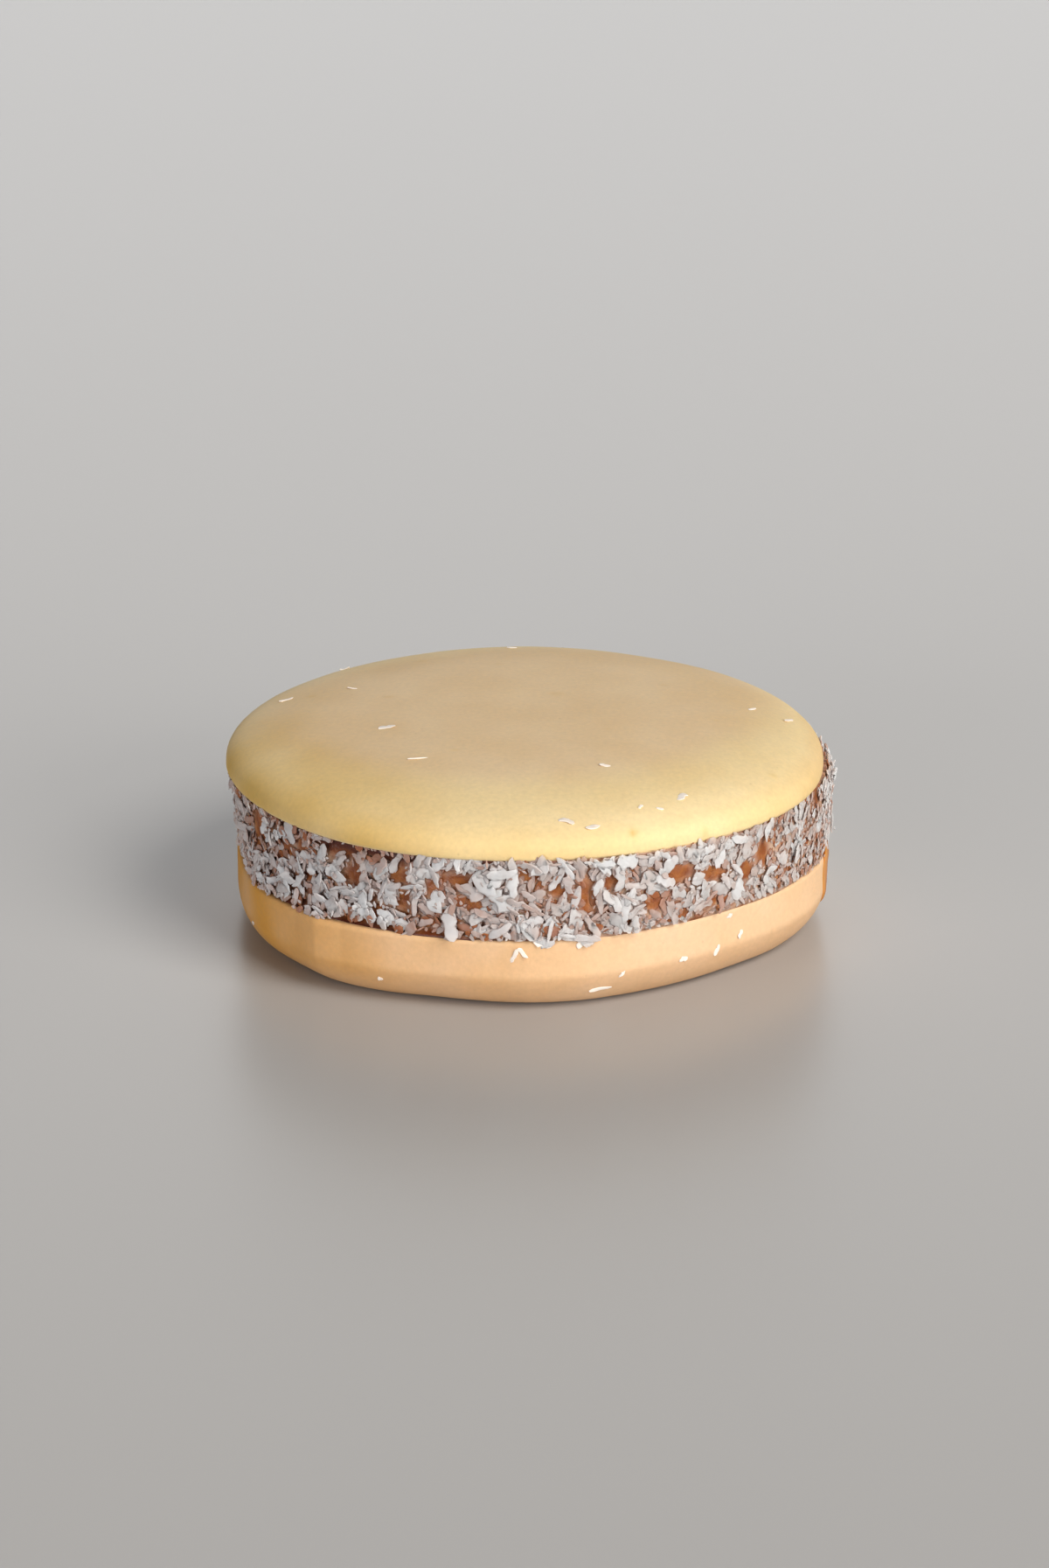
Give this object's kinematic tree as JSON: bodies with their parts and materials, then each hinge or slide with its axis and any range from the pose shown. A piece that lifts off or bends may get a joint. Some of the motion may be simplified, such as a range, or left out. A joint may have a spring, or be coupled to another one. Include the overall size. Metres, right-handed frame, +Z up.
{
  "type": "alfajor",
  "caption": "Round sandwich biscuit: a domed upper and a flat-topped lower cornflour biscuit with a thick dulce de leche layer, its side rolled in coconut.",
  "frame": {"origin": "middle of the footprint on the surface that the alfajor rests on", "axes": "+Z up through the three layers, -Y towards the front that the picture shows, +X to its right"},
  "size_m": [0.0606, 0.0604, 0.0206],
  "materials": {
    "lower_biscuit": "matt baked cornflour dough, peach gold",
    "upper_biscuit": "smooth matt baked cornflour dough, pale gold",
    "dulce_de_leche": "thick milk caramel, softly glossy",
    "coconut": "desiccated coconut shreds, matt white and slightly see-through"
  },
  "bodies": {
    "root": {"bottom_biscuit": "lower_biscuit", "dulce_filling": "dulce_de_leche", "top_biscuit": "upper_biscuit"}
  },
  "joints": []
}
